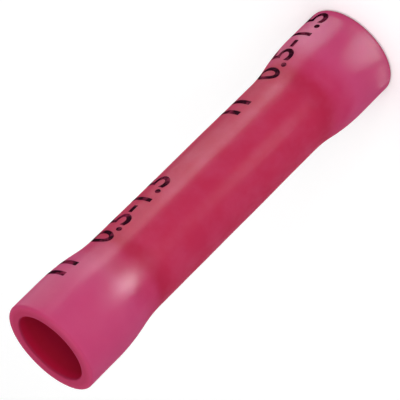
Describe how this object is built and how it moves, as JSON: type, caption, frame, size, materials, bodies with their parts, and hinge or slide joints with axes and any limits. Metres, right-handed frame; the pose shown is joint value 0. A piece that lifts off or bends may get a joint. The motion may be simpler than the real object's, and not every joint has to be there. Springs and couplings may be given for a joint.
{
  "type": "butt splice connector",
  "caption": "Insulated crimp splice: a red vinyl sleeve with belled ends on a tinned copper barrel, which joins two wires end to end.",
  "frame": {"origin": "middle of the lower rim, on the barrel's axis, where the splice stands on its end", "axes": "+Z along the barrel's axis, from the lower mouth to the upper one; -Y towards the barrel's seam"},
  "size_m": [0.006, 0.006, 0.026],
  "materials": {
    "red_vinyl": "semi-gloss, slightly translucent",
    "tinned_copper": "bright tin plate"
  },
  "bodies": {
    "root": {"insulating_sleeve": "red_vinyl", "crimp_barrel": "tinned_copper"}
  },
  "joints": []
}
